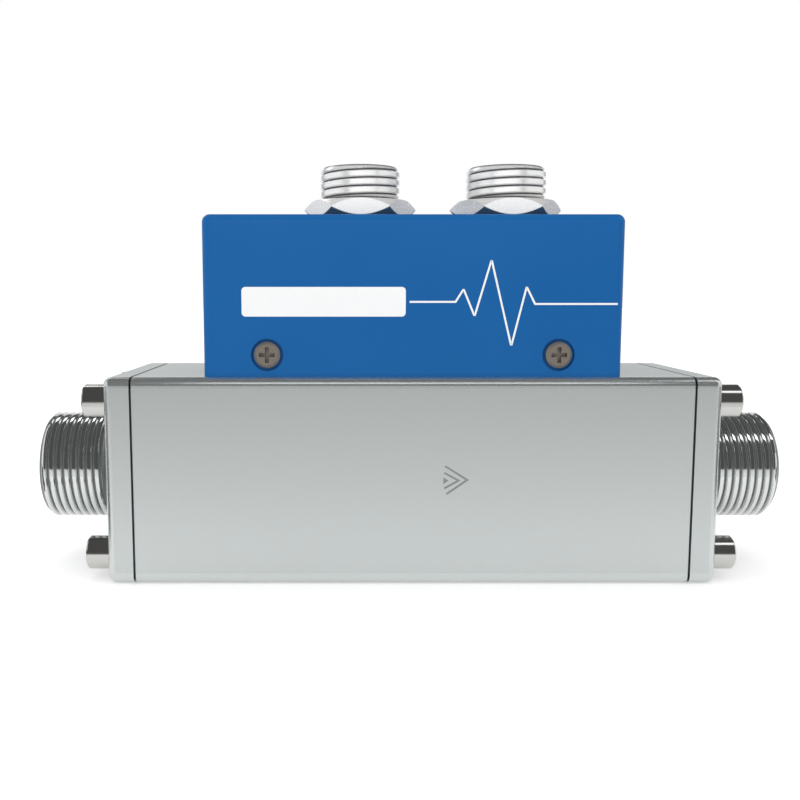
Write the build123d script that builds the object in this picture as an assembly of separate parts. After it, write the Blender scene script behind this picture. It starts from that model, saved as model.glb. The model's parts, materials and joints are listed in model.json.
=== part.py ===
from build123d import *
import math
import os

# In-line gas mass flow meter with a screwed pipe fitting at each end.
# Millimetres. X runs with the flow from inlet to outlet, Y from front (-) to back (+),
# Z is up from the underside. The part stands on its underside, centred on X and Y.

# Flow body: a square aluminium block with the flow bore along it.
body_length = 162.5
body_depth = 60.0
body_height = 61.0
long_edge_radius = 2.5
body_end_chamfer = 0.2
flow_bore_radius = 13.0

# End plates that clamp the pipe fittings, with a narrow step that shows as a dark seam.
plate_thickness = 8.25
seam_width = 0.5
seam_depth = 0.8
plate_edge_radius = 2.45

# Pipe fittings: G1 parallel pipe thread outside, drawn plain at its outside diameter,
# and a flange inside the end plate.
pipe_thread_radius = 16.62
pipe_thread_length = 18.8
pipe_neck_length = 5.0
pipe_neck_radius = 14.8
pipe_neck_taper = 1.8
fitting_bore_radius = 12.5
fitting_tip_chamfer = 1.2
fitting_flange_radius = 21.0
fitting_flange_thickness = 4.0
fitting_clearance = 0.2

# Seal rings between the fitting flanges and the flow body.
end_seal_inner_radius = 16.4
end_seal_width = 2.4
end_seal_thickness = 1.8

# M6 socket head screws of the end plates.
plate_screw_radius = 3.0
plate_screw_grip = 14.0
plate_screw_head_radius = 5.0
plate_screw_head_height = 7.0
plate_screw_socket_width = 5.0
plate_screw_socket_depth = 3.0
plate_screw_head_edge = 0.5
plate_screw_inset = 7.6
plate_screw_clearance = 0.3

# Flow conditioning stack in the inlet end of the bore.
stack_radius = 15.0
screen_thickness = 1.0
screen_window = 2.6
screen_bar = 0.9
honeycomb_length = 9.0
honeycomb_cell = 4.0
honeycomb_wall = 0.6
spacer_length = 6.0
spacer_wall = 2.0

# Sensor: a blade in the bore, held by a round flanged holder let into the top of the body.
sensor_x = 0.0
holder_stem_radius = 9.0
holder_flange_radius = 15.0
holder_flange_thickness = 4.0
holder_clearance = 0.2
blade_width = 10.0
blade_thickness = 1.0
blade_reach_below_axis = 5.0
chip_width = 3.0
chip_height = 4.0
chip_thickness = 0.6
sensor_seal_thickness = 1.6
sensor_seal_width = 1.2
sensor_screw_offset = 12.0
sensor_screw_radius = 1.25
sensor_screw_grip = 6.0
sensor_screw_head_radius = 2.3
sensor_screw_head_height = 1.7

# Electronics cover: an open-bottomed box, set back behind the rounded body edge.
cover_length = 121.0
cover_setback = 2.25
cover_height = 46.5
cover_wall = 2.0
cover_edge_radius = 2.3
cover_top_radius = 2.25

# Screws of the cover, in round recesses near its lower edge.
cover_screw_inset = 18.5
cover_screw_height = 6.4
cover_screw_radius = 2.0
cover_screw_grip = 6.0
cover_screw_head_radius = 3.75
cover_screw_head_height = 2.2
cover_screw_recess_radius = 4.65
cover_screw_recess_depth = 1.2
cover_screw_clearance = 0.25

# Cross-recess screws in general, as shares of each head.
head_bevel_share = 0.3
cross_length_share = 1.2
cross_width_share = 0.3
cross_depth_share = 0.6

# Base bracket under the cover, with upright tabs that the cover screws grip.
bracket_thickness = 1.5
bracket_side_gap = 0.5
tab_width = 12.0
tab_height = 12.0
bracket_window_gap = 2.0

# Screws that hold the bracket on the body.
bracket_screw_inset = 7.6
bracket_screw_radius = 2.0
bracket_screw_grip = 7.0
bracket_screw_head_radius = 3.5
bracket_screw_head_height = 2.4
bracket_screw_clearance = 0.25

# Main circuit board on four pillars.
pillar_inset_x = 24.5
pillar_inset_y = 7.6
pillar_radius = 3.0
pillar_height = 10.0
pillar_spigot_radius = 2.0
board_thickness = 1.6
board_side_gap = 3.0
board_screw_radius = 1.5
board_screw_grip = 5.0
board_screw_head_radius = 2.75
board_screw_head_height = 2.0
board_screw_clearance = 0.1
processor_size = 14.0
processor_thickness = 1.4
processor_x = -18.0
small_chip_size = 6.0
small_chip_thickness = 1.6
small_chip_x = (18.0, 28.0)
capacitor_radius = 4.0
capacitor_height = 9.0
capacitor_inset = 9.5
sensor_header_length = 14.0
sensor_header_width = 5.0
sensor_header_height = 5.0

# Round connectors on top of the cover.
connector_spacing = 45.4
connector_pair_shift = 7.7
connector_thread_radius = 12.25
connector_seat_radius = 12.0
connector_relief = 0.5
connector_thread_pitch = 2.4
connector_thread_depth = 1.0
connector_crest_share = 0.5
connector_top_land = 0.55
connector_reach = 16.0
connector_hole_gap = 0.15
connector_flange_radius = 14.5
connector_flange_thickness = 2.5
connector_tail = 6.0
connector_cup_radius = 10.3
connector_cup_depth = 9.0
connector_rim_chamfer = 0.6
gasket_radius = 14.2
gasket_thickness = 0.8
nut_across_flats = 30.0
nut_thickness = 5.0
nut_chamfer_height = 2.3
pin_radius = 0.8
pin_rise = 7.0
pin_counts = (7, 4)
pin_circle_radius = 6.0
key_width = 2.4
key_depth = 1.2

# Upper board that the connector pins reach, and the stacking link to the main board.
upper_board_drop = 5.0
upper_board_margin = 3.0
upper_board_side_gap = 7.5
link_length = 24.0
link_width = 5.0

# Tapped mounting holes in the underside.
mount_inset_x = 21.25
mount_inset_y = 10.0
mount_hole_radius = 3.0
mount_hole_depth = 10.0

# Places that follow from the sizes above.
axis_z = body_height / 2
plate_screw_offset_y = body_depth / 2 - plate_screw_inset
plate_screw_offset_z = body_height / 2 - plate_screw_inset
mount_offset_x = body_length / 2 - mount_inset_x
mount_offset_y = body_depth / 2 - mount_inset_y
body_end = body_length / 2
plate_face = body_end + plate_thickness
stack_length = 2 * screen_thickness + honeycomb_length + spacer_length
cover_depth = body_depth - 2 * cover_setback
cover_front = cover_depth / 2
cover_inner_y = cover_front - cover_wall
cover_inner_x = cover_length / 2 - cover_wall
cover_screw_x = cover_length / 2 - cover_screw_inset
connector_x = tuple(connector_pair_shift + side * connector_spacing / 2 for side in (-1, 1))
bracket_screw_x = cover_inner_x - bracket_screw_inset
bracket_screw_y = cover_inner_y - bracket_screw_inset
pillar_x = cover_inner_x - pillar_inset_x
pillar_y = cover_inner_y - pillar_inset_y
board_half_x = cover_inner_x - board_side_gap
board_half_y = cover_inner_y - board_side_gap
capacitor_x = board_half_x - capacitor_inset
upper_board_half_y = cover_inner_y - upper_board_side_gap
cover_top = body_height + cover_height
ceiling = cover_top - cover_wall
bracket_top = body_height + bracket_thickness
cover_screw_z = body_height + cover_screw_height
board_bottom = bracket_top + pillar_height
board_top = board_bottom + board_thickness
insert_bottom = ceiling - connector_tail
upper_board_top = insert_bottom - upper_board_drop
upper_board_bottom = upper_board_top - board_thickness
nut_bottom = cover_top + gasket_thickness
nut_top = nut_bottom + nut_thickness
connector_top = cover_top + connector_reach
cup_floor = connector_top - connector_cup_depth
blade_bottom = axis_z - blade_reach_below_axis
blade_top = board_bottom - sensor_header_height


def block(x_from, x_to, y_from, y_to, z_from, z_to):
    """A box between two corners."""
    middle = Pos((x_from + x_to) / 2, (y_from + y_to) / 2, (z_from + z_to) / 2)
    return middle * Box(x_to - x_from, y_to - y_from, z_to - z_from)


def rod_x(radius, x_from, x_to, y=0.0, z=0.0):
    """A round rod along X."""
    return Pos((x_from + x_to) / 2, y, z) * Rot(0, 90, 0) * Cylinder(radius, x_to - x_from)


def rod_z(radius, z_from, z_to, x=0.0, y=0.0):
    """A round rod along Z."""
    return Pos(x, y, (z_from + z_to) / 2) * Cylinder(radius, z_to - z_from)


def tube_x(outer, inner, x_from, x_to, z):
    """A plain ring along X."""
    return rod_x(outer, x_from, x_to, z=z) - rod_x(inner, x_from, x_to, z=z)


def tube_z(outer, inner, z_from, z_to, x=0.0, y=0.0):
    """A plain ring along Z."""
    return rod_z(outer, z_from, z_to, x, y) - rod_z(inner, z_from, z_to, x, y)


def corners(x, y):
    """The four places at plus and minus x and y."""
    return [(side_x * x, side_y * y) for side_x in (-1, 1) for side_y in (-1, 1)]


def group(solids):
    """Separate solids that share one node."""
    return Compound(children=list(solids))


def thread_grooves(start, length, pitch):
    """Groove centres of a ring-cut thread, evenly spaced inside the threaded length."""
    count = int(length / pitch)
    first = start + (length - (count - 1) * pitch) / 2
    return [first + number * pitch for number in range(count)]


def turned(points, axis):
    """A turned part from its half section, given as (along the axis, radius)."""
    plane = Plane.XY if axis == Axis.X else Plane.XZ
    drawn = points if axis == Axis.X else [(radius, along) for along, radius in points]
    return revolve(plane * make_face(Polyline(drawn, close=True)), axis=axis)


def grooved(points, centres, radius, depth, width):
    """Add the V grooves of a thread to a half section, in order along the axis."""
    half = width / 2
    for centre in centres:
        points += [(centre - half, radius), (centre, radius - depth), (centre + half, radius)]
    return points


def cap_screw():
    """M6 socket head screw, its head above zero and its shank below."""
    head = rod_z(plate_screw_head_radius, 0, plate_screw_head_height)
    head = chamfer(head.edges().sort_by(Axis.Z)[-1], plate_screw_head_edge)
    socket = extrude(
        Pos(0, 0, plate_screw_head_height - plate_screw_socket_depth)
        * RegularPolygon(plate_screw_socket_width / 2, 6, major_radius=False),
        amount=plate_screw_socket_depth,
    )
    shank = rod_z(plate_screw_radius, -plate_thickness - plate_screw_grip, 0)
    return head + shank - socket


def cross_screw(head_radius, head_height, shank_radius, shank_length):
    """Cross-recess screw with a low rounded head above zero and its shank below."""
    head = rod_z(head_radius, 0, head_height)
    head = chamfer(head.edges().sort_by(Axis.Z)[-1], head_height * head_bevel_share)
    floor = head_height * (1 - cross_depth_share)
    reach = head_radius * cross_length_share / 2
    width = head_radius * cross_width_share / 2
    for long_x, long_y in ((reach, width), (width, reach)):
        head -= block(-long_x, long_x, -long_y, long_y, floor, head_height)
    return head + rod_z(shank_radius, -shank_length, 0)


def make_flow_body():
    body = block(-body_end, body_end, -body_depth / 2, body_depth / 2, 0, body_height)
    body = fillet(body.edges().filter_by(Axis.X), long_edge_radius)
    for end in (0, -1):
        body = chamfer(body.faces().sort_by(Axis.X)[end].edges(), body_end_chamfer)
    cuts = [rod_x(flow_bore_radius, -body_end, body_end, z=axis_z)]
    cuts.append(rod_x(stack_radius, -body_end, -body_end + stack_length, z=axis_z))
    for side in (-1, 1):
        groove_ends = sorted((side * body_end, side * (body_end - end_seal_thickness)))
        outer = end_seal_inner_radius + end_seal_width
        cuts.append(tube_x(outer, end_seal_inner_radius, *groove_ends, axis_z))
        hole_ends = sorted((side * body_end, side * (body_end - plate_screw_grip)))
        for y, z in corners(plate_screw_offset_y, plate_screw_offset_z):
            cuts.append(rod_x(plate_screw_radius, *hole_ends, y, axis_z + z))
    flange_floor = body_height - holder_flange_thickness
    cuts.append(rod_z(holder_stem_radius, axis_z, body_height, sensor_x))
    cuts.append(rod_z(holder_flange_radius + holder_clearance, flange_floor, body_height, sensor_x))
    cuts.append(sensor_seal_space())
    for side in (-1, 1):
        place = sensor_x + side * sensor_screw_offset
        cuts.append(rod_z(sensor_screw_radius, flange_floor - sensor_screw_grip, flange_floor, place))
    for x, y in corners(bracket_screw_x, bracket_screw_y):
        cuts.append(rod_z(bracket_screw_radius, body_height - bracket_screw_grip, body_height, x, y))
    for x, y in corners(mount_offset_x, mount_offset_y):
        cuts.append(rod_z(mount_hole_radius, 0, mount_hole_depth, x, y))
    return body - cuts


def sensor_seal_space():
    """The square groove around the holder stem, just under its flange."""
    top = body_height - holder_flange_thickness
    outer = holder_stem_radius + sensor_seal_width
    return tube_z(outer, holder_stem_radius, top - sensor_seal_thickness, top, sensor_x)


def make_end_plate(side):
    """An end plate: outside it is a bare face, inside it holds the fitting flange."""
    inner, outer = side * body_end, side * plate_face
    x_from, x_to = sorted((inner, outer))
    plate = block(x_from, x_to, -body_depth / 2, body_depth / 2, 0, body_height)
    plate = fillet(plate.edges().filter_by(Axis.X), long_edge_radius)
    outer_face = plate.faces().sort_by(Axis.X)[-1 if side > 0 else 0]
    plate = fillet(outer_face.edges(), plate_edge_radius)
    step = sorted((inner, inner + side * seam_width))
    core = block(
        *step, seam_depth - body_depth / 2, body_depth / 2 - seam_depth, seam_depth, body_height - seam_depth
    )
    core = fillet(core.edges().filter_by(Axis.X), long_edge_radius - seam_depth)
    plate -= block(*step, -body_depth / 2, body_depth / 2, 0, body_height) - core
    seat = sorted((inner, inner + side * fitting_flange_thickness))
    plate -= rod_x(pipe_thread_radius + fitting_clearance, x_from, x_to, z=axis_z)
    plate -= rod_x(fitting_flange_radius + fitting_clearance, *seat, z=axis_z)
    for y, z in corners(plate_screw_offset_y, plate_screw_offset_z):
        plate -= rod_x(plate_screw_radius + plate_screw_clearance, x_from, x_to, y, axis_z + z)
    return plate


def make_fitting(side):
    """A flanged pipe fitting, turned as one piece, drawn towards +X and then placed."""
    thread_start = plate_face + pipe_neck_length
    tip = thread_start + pipe_thread_length
    flange_face = body_end + fitting_flange_thickness
    outline = [
        (body_end, fitting_bore_radius),
        (body_end, fitting_flange_radius),
        (flange_face, fitting_flange_radius),
        (flange_face, pipe_thread_radius),
        (plate_face, pipe_thread_radius),
        (plate_face, pipe_neck_radius),
        (thread_start - pipe_neck_taper, pipe_neck_radius),
        (thread_start, pipe_thread_radius),
        (tip - fitting_tip_chamfer, pipe_thread_radius),
        (tip, pipe_thread_radius - fitting_tip_chamfer),
        (tip, fitting_bore_radius),
    ]
    fitting = turned(outline, Axis.X)
    if side < 0:
        fitting = Rot(0, 0, 180) * fitting
    return Pos(0, 0, axis_z) * fitting


def make_end_seal(side):
    ends = sorted((side * body_end, side * (body_end - end_seal_thickness)))
    outer = end_seal_inner_radius + end_seal_width
    return tube_x(outer, end_seal_inner_radius, *ends, axis_z)


def make_plate_screws(side):
    turn = Rot(0, side * 90, 0)
    places = corners(plate_screw_offset_y, plate_screw_offset_z)
    return group(Pos(side * plate_face, y, axis_z + z) * turn * cap_screw() for y, z in places)


def make_screen(x_from):
    """A wire screen drawn as a disc with square windows."""
    pitch = screen_window + screen_bar
    rings = int(stack_radius / pitch)
    disc = Circle(stack_radius)
    for column in range(-rings, rings + 1):
        for row in range(-rings, rings + 1):
            far = math.hypot(abs(column) * pitch + screen_window / 2, abs(row) * pitch + screen_window / 2)
            if far < stack_radius - screen_bar:
                disc -= Pos(column * pitch, row * pitch) * Rectangle(screen_window, screen_window)
    return Pos(x_from, 0, axis_z) * extrude(Plane.YZ * disc, amount=screen_thickness)


def make_honeycomb(x_from):
    """The flow straightener: a disc of six-sided cells."""
    pitch = honeycomb_cell + honeycomb_wall
    rings = int(stack_radius / pitch)
    disc = Circle(stack_radius)
    cell = RegularPolygon(honeycomb_cell / 2, 6, major_radius=False)
    cell_corner = honeycomb_cell / math.sqrt(3)
    for row in range(-rings - 1, rings + 2):
        for column in range(-rings - 1, rings + 2):
            along = column * pitch + row * pitch / 2
            across = row * pitch * math.sqrt(3) / 2
            if math.hypot(along, across) + cell_corner < stack_radius - honeycomb_wall:
                disc -= Pos(across, along) * cell
    return Pos(x_from, 0, axis_z) * extrude(Plane.YZ * disc, amount=honeycomb_length)


def make_sensor_holder():
    """Round holder with a slot for the blade, its lower end shaped by the flow bore."""
    top = body_height
    holder = rod_z(holder_flange_radius, top - holder_flange_thickness, top, sensor_x)
    holder += rod_z(holder_stem_radius, axis_z, top, sensor_x)
    holder -= rod_x(flow_bore_radius, -body_end, body_end, z=axis_z)
    holder -= blade_space(axis_z, top)
    for side in (-1, 1):
        place = sensor_x + side * sensor_screw_offset
        hole = sensor_screw_radius + holder_clearance
        holder -= rod_z(hole, top - holder_flange_thickness, top, place)
    return holder


def blade_space(z_from, z_to):
    """The room taken by the sensor blade between two heights."""
    half_width, half_thickness = blade_width / 2, blade_thickness / 2
    return block(
        sensor_x - half_width, sensor_x + half_width, -half_thickness, half_thickness, z_from, z_to
    )


def make_sensor_chip():
    front = -blade_thickness / 2
    half = chip_width / 2
    low = axis_z - chip_height / 2
    return block(
        sensor_x - half, sensor_x + half, front - chip_thickness, front, low, low + chip_height
    )


def make_sensor_screws():
    length = holder_flange_thickness + sensor_screw_grip
    screw = cross_screw(
        sensor_screw_head_radius, sensor_screw_head_height, sensor_screw_radius, length
    )
    return group(Pos(sensor_x + side * sensor_screw_offset, 0, body_height) * screw for side in (-1, 1))


def make_cover():
    """Open-bottomed box with holes for the connectors and recesses for the screws."""
    half = cover_length / 2
    cover = block(-half, half, -cover_front, cover_front, body_height, cover_top)
    cover = fillet(cover.edges().filter_by(Axis.Z), cover_edge_radius)
    cover = fillet(cover.faces().sort_by(Axis.Z)[-1].edges(), cover_top_radius)
    cover -= block(-cover_inner_x, cover_inner_x, -cover_inner_y, cover_inner_y, body_height, ceiling)
    for x in connector_x:
        cover -= rod_z(connector_thread_radius + connector_hole_gap, ceiling, cover_top, x)
    for x, side in corners(cover_screw_x, 1):
        cover -= Pos(x, side * cover_front, cover_screw_z) * screw_recess(side)
    return cover


def screw_recess(side):
    """A round recess with a through hole, cut inwards from the front or the back wall."""
    recess = rod_z(cover_screw_recess_radius, -cover_screw_recess_depth, cover_screw_recess_depth)
    recess += rod_z(cover_screw_radius + cover_screw_clearance, -cover_wall, 0)
    return Rot(-side * 90, 0, 0) * recess


def make_cover_screws():
    seat = cover_front - cover_screw_recess_depth
    length = cover_wall - cover_screw_recess_depth + cover_screw_grip
    screw = cross_screw(
        cover_screw_head_radius, cover_screw_head_height, cover_screw_radius, length
    )
    places = corners(cover_screw_x, 1)
    return group(
        Pos(x, side * seat, cover_screw_z) * Rot(-side * 90, 0, 0) * screw for x, side in places
    )


def make_bracket():
    """Folded sheet bracket: a flat base and four upright tabs against the cover walls."""
    half_x = cover_inner_x - bracket_side_gap
    bracket = block(-half_x, half_x, -cover_inner_y, cover_inner_y, body_height, bracket_top)
    for x, side in corners(cover_screw_x, 1):
        y_ends = sorted((side * cover_inner_y, side * (cover_inner_y - bracket_thickness)))
        half_tab = tab_width / 2
        bracket += block(x - half_tab, x + half_tab, *y_ends, body_height, bracket_top + tab_height)
        hole = rod_z(cover_screw_radius, -bracket_thickness, 0)
        bracket -= Pos(x, side * cover_inner_y, cover_screw_z) * Rot(-side * 90, 0, 0) * hole
    window = holder_flange_radius + holder_clearance + bracket_window_gap
    bracket -= rod_z(window, body_height, bracket_top, sensor_x)
    for x, y in corners(bracket_screw_x, bracket_screw_y):
        hole = bracket_screw_radius + bracket_screw_clearance
        bracket -= rod_z(hole, body_height, bracket_top, x, y)
    for x, y in corners(pillar_x, pillar_y):
        bracket -= rod_z(pillar_spigot_radius, body_height, bracket_top, x, y)
    return bracket


def make_bracket_screws():
    length = bracket_thickness + bracket_screw_grip
    screw = cross_screw(
        bracket_screw_head_radius, bracket_screw_head_height, bracket_screw_radius, length
    )
    return group(Pos(x, y, bracket_top) * screw for x, y in corners(bracket_screw_x, bracket_screw_y))


def make_pillars():
    pillar = rod_z(pillar_radius, bracket_top, board_bottom)
    pillar += rod_z(pillar_spigot_radius, body_height, bracket_top)
    pillar -= rod_z(board_screw_radius, board_bottom - board_screw_grip, board_bottom)
    return group(Pos(x, y, 0) * pillar for x, y in corners(pillar_x, pillar_y))


def make_main_board():
    board = block(-board_half_x, board_half_x, -board_half_y, board_half_y, board_bottom, board_top)
    for x, y in corners(pillar_x, pillar_y):
        board -= rod_z(board_screw_radius + board_screw_clearance, board_bottom, board_top, x, y)
    return board


def make_board_screws():
    length = board_thickness + board_screw_grip
    screw = cross_screw(
        board_screw_head_radius, board_screw_head_height, board_screw_radius, length
    )
    return group(Pos(x, y, board_top) * screw for x, y in corners(pillar_x, pillar_y))


def make_processor():
    half = processor_size / 2
    return block(
        processor_x - half, processor_x + half, -half, half, board_top, board_top + processor_thickness
    )


def make_small_chips():
    half = small_chip_size / 2
    top = board_top + small_chip_thickness
    return group(block(x - half, x + half, -half, half, board_top, top) for x in small_chip_x)


def make_capacitors():
    return group(
        rod_z(capacitor_radius, board_top, board_top + capacitor_height, side * capacitor_x)
        for side in (-1, 1)
    )


def make_sensor_header():
    half_x, half_y = sensor_header_length / 2, sensor_header_width / 2
    return block(sensor_x - half_x, sensor_x + half_x, -half_y, half_y, blade_top, board_bottom)


def make_upper_board():
    margin = connector_flange_radius + upper_board_margin
    x_from, x_to = min(connector_x) - margin, max(connector_x) + margin
    half_y = upper_board_half_y
    return block(x_from, x_to, -half_y, half_y, upper_board_bottom, upper_board_top)


def make_board_link():
    middle = sum(connector_x) / len(connector_x)
    y = upper_board_half_y - link_width
    half_x, half_y = link_length / 2, link_width / 2
    return block(middle - half_x, middle + half_x, y - half_y, y + half_y, board_top, upper_board_bottom)


def make_connector_shell(x):
    """Threaded connector shell: a flange under the cover, an open cup with a key rib above it."""
    thread_start = nut_top - cover_top + connector_relief
    outline = [
        (-cover_wall - connector_tail, connector_cup_radius),
        (-cover_wall - connector_tail, connector_seat_radius),
        (-cover_wall - connector_flange_thickness, connector_seat_radius),
        (-cover_wall - connector_flange_thickness, connector_flange_radius),
        (-cover_wall, connector_flange_radius),
        (-cover_wall, connector_seat_radius),
        (thread_start, connector_seat_radius),
        (thread_start, connector_thread_radius),
    ]
    threaded = connector_reach - connector_top_land - thread_start
    centres = thread_grooves(thread_start, threaded, connector_thread_pitch)
    width = connector_thread_pitch * (1 - connector_crest_share)
    outline = grooved(outline, centres, connector_thread_radius, connector_thread_depth, width)
    outline += [
        (connector_reach - connector_rim_chamfer, connector_thread_radius),
        (connector_reach, connector_thread_radius - connector_rim_chamfer),
        (connector_reach, connector_cup_radius),
    ]
    shell = Pos(0, 0, cover_top) * turned(outline, Axis.Z)
    rib = block(
        -key_width / 2, key_width / 2,
        connector_cup_radius - key_depth, connector_thread_radius - connector_thread_depth,
        cup_floor, connector_top - connector_rim_chamfer,
    )
    return Pos(x, 0, 0) * (shell + rib)


def make_gaskets():
    inner = connector_seat_radius
    return group(tube_z(gasket_radius, inner, cover_top, nut_bottom, x) for x in connector_x)


def make_nuts():
    """Six-sided nuts with both edges turned down, one flat facing the front."""
    corner = nut_across_flats / math.sqrt(3)
    edge = nut_across_flats / 2
    blank = extrude(RegularPolygon(corner, 6), amount=nut_thickness)
    turning = [
        (0, 0),
        (0, edge),
        (nut_chamfer_height, corner),
        (nut_thickness - nut_chamfer_height, corner),
        (nut_thickness, edge),
        (nut_thickness, 0),
    ]
    nut = blank & turned(turning, Axis.Z)
    nut -= rod_z(connector_seat_radius, 0, nut_thickness)
    return group(Pos(x, 0, nut_bottom) * nut for x in connector_x)


def pin_places(count):
    """Pin centres on their circle, the first one opposite the key."""
    turns = [2 * math.pi * number / count for number in range(count)]
    return [(pin_circle_radius * math.sin(turn), -pin_circle_radius * math.cos(turn)) for turn in turns]


def make_insert(x, count):
    """Insulating insert that carries the pins, at the bottom of the cup."""
    insert = rod_z(connector_cup_radius, insert_bottom, cup_floor)
    for pin_x, pin_y in pin_places(count):
        insert -= rod_z(pin_radius, insert_bottom, cup_floor, pin_x, pin_y)
    return Pos(x, 0, 0) * insert


def make_pins(x, count):
    return group(
        rod_z(pin_radius, upper_board_top, cup_floor + pin_rise, x + pin_x, pin_y)
        for pin_x, pin_y in pin_places(count)
    )


screen_x = -body_end
honeycomb_x = screen_x + screen_thickness
spacer_x = honeycomb_x + honeycomb_length
second_screen_x = spacer_x + spacer_length

nodes = {
    "flow_body": make_flow_body(),
    "inlet_end_plate": make_end_plate(-1),
    "outlet_end_plate": make_end_plate(1),
    "inlet_fitting": make_fitting(-1),
    "outlet_fitting": make_fitting(1),
    "inlet_seal": make_end_seal(-1),
    "outlet_seal": make_end_seal(1),
    "inlet_plate_screws": make_plate_screws(-1),
    "outlet_plate_screws": make_plate_screws(1),
    "inlet_screen": make_screen(screen_x),
    "flow_straightener": make_honeycomb(honeycomb_x),
    "screen_spacer": tube_x(
        stack_radius, stack_radius - spacer_wall, spacer_x, second_screen_x, axis_z
    ),
    "second_screen": make_screen(second_screen_x),
    "sensor_holder": make_sensor_holder(),
    "sensor_seal": sensor_seal_space(),
    "sensor_screws": make_sensor_screws(),
    "sensor_blade": blade_space(blade_bottom, blade_top),
    "sensor_chip": make_sensor_chip(),
    "sensor_header": make_sensor_header(),
    "electronics_cover": make_cover(),
    "cover_screws": make_cover_screws(),
    "cover_bracket": make_bracket(),
    "bracket_screws": make_bracket_screws(),
    "board_pillars": make_pillars(),
    "main_board": make_main_board(),
    "board_screws": make_board_screws(),
    "processor": make_processor(),
    "small_chips": make_small_chips(),
    "capacitors": make_capacitors(),
    "upper_board": make_upper_board(),
    "board_link": make_board_link(),
    "left_connector_shell": make_connector_shell(connector_x[0]),
    "right_connector_shell": make_connector_shell(connector_x[1]),
    "connector_gaskets": make_gaskets(),
    "connector_nuts": make_nuts(),
    "left_connector_insert": make_insert(connector_x[0], pin_counts[0]),
    "right_connector_insert": make_insert(connector_x[1], pin_counts[1]),
    "left_connector_pins": make_pins(connector_x[0], pin_counts[0]),
    "right_connector_pins": make_pins(connector_x[1], pin_counts[1]),
}

os.makedirs("parts", exist_ok=True)
for name, shape in nodes.items():
    export_step(shape, f"parts/{name}.step")
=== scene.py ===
# %% [markdown]
# # A mass flow meter for gas, dressed in Blender
# The meter is a square aluminium block that gas flows through, with a screwed pipe fitting at each
# end, a blue painted box of electronics on top and two round cable connectors. A CAD model gives every
# solid its size and place. Here that model is loaded as a fixed frame, and Blender adds what CAD leaves
# out: true threads, the engraved arrow, the white print, the finish of every surface, and the light.

# %% Load the frame
import json
import math

import bmesh
import bpy
from mathutils import Matrix, Vector

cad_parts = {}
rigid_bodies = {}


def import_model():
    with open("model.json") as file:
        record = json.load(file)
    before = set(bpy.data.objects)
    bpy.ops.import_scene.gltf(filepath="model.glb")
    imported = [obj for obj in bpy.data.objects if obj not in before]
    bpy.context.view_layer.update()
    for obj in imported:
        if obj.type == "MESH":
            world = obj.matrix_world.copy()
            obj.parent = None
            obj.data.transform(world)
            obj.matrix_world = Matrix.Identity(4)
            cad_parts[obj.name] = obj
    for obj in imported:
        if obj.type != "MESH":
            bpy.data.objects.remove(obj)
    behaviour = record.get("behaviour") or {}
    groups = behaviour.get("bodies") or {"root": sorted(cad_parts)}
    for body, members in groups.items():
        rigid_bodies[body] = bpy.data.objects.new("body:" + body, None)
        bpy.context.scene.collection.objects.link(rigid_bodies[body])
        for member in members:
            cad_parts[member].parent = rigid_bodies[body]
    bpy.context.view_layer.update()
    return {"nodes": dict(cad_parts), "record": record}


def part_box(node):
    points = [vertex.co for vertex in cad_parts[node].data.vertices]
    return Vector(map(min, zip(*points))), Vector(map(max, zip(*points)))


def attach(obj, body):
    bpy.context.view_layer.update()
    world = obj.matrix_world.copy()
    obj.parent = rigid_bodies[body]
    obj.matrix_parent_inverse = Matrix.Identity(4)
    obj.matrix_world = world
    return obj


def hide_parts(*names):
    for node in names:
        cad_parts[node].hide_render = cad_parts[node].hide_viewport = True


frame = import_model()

scene = bpy.context.scene
mm = 0.001

# %% [markdown]
# ## Sizes that the pieces below share
# Blender works in metres and the meter was measured in millimetres, so every size is written in
# millimetres and the finished mesh is scaled once. The main places are read from the frame: a piece
# that is built from them stays on its neighbour when the CAD model changes.

# %% Places on the frame
body_low, body_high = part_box("flow_body")
cover_low, cover_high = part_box("electronics_cover")
body_end = body_high.x / mm
body_front = body_low.y / mm
axis_height = (body_low.z + body_high.z) / 2 / mm
plate_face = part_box("outlet_end_plate")[1].x / mm
cover_front = cover_low.y / mm
cover_top = cover_high.z / mm
fitting_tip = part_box("outlet_fitting")[1].x / mm
print("body end", round(body_end, 2), "plate face", round(plate_face, 2))
print("cover top", round(cover_top, 2), "fitting tip", round(fitting_tip, 2))

# %% [markdown]
# ## The camera
# The picture is taken from nearly straight in front, a little above the middle and a little to the
# left. A short lens close to the object gives the right spread: the fittings turn away at both sides
# while the front stays square. The lens shift moves the picture sideways without turning the camera,
# so upright edges stay upright.

# %% Make the camera
focal_length = 41.567
sideways_shift = 0.06115
camera_place = Vector((-17.812, -293.827, 84.831)) * mm
downward_tilt = 6.544
camera_data = bpy.data.cameras.new("camera")
camera_data.sensor_width = 36
camera_data.lens = focal_length
camera_data.shift_x = sideways_shift
camera_data.clip_start = 0.01
camera = bpy.data.objects.new("camera", camera_data)
camera.location = camera_place
camera.rotation_euler = (math.radians(90 - downward_tilt), 0, 0)
scene.collection.objects.link(camera)
scene.camera = camera
print("lens", focal_length, "mm, tilted down", downward_tilt, "degrees")

# %% [markdown]
# ## Helpers for materials
# A material is a tree of nodes. One function adds a node, sets its settings and fills its inputs with
# numbers or with links, so a finish reads as a short list of what it is made of. Colours are written as
# the hex values of a paint card and turned to linear light, which is what the shader works in. Object
# coordinates are metres on the meter itself, because every piece sits at the origin. So a mask can be
# worked out from real sizes, such as a valley's distance from a thread's axis.

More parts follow.
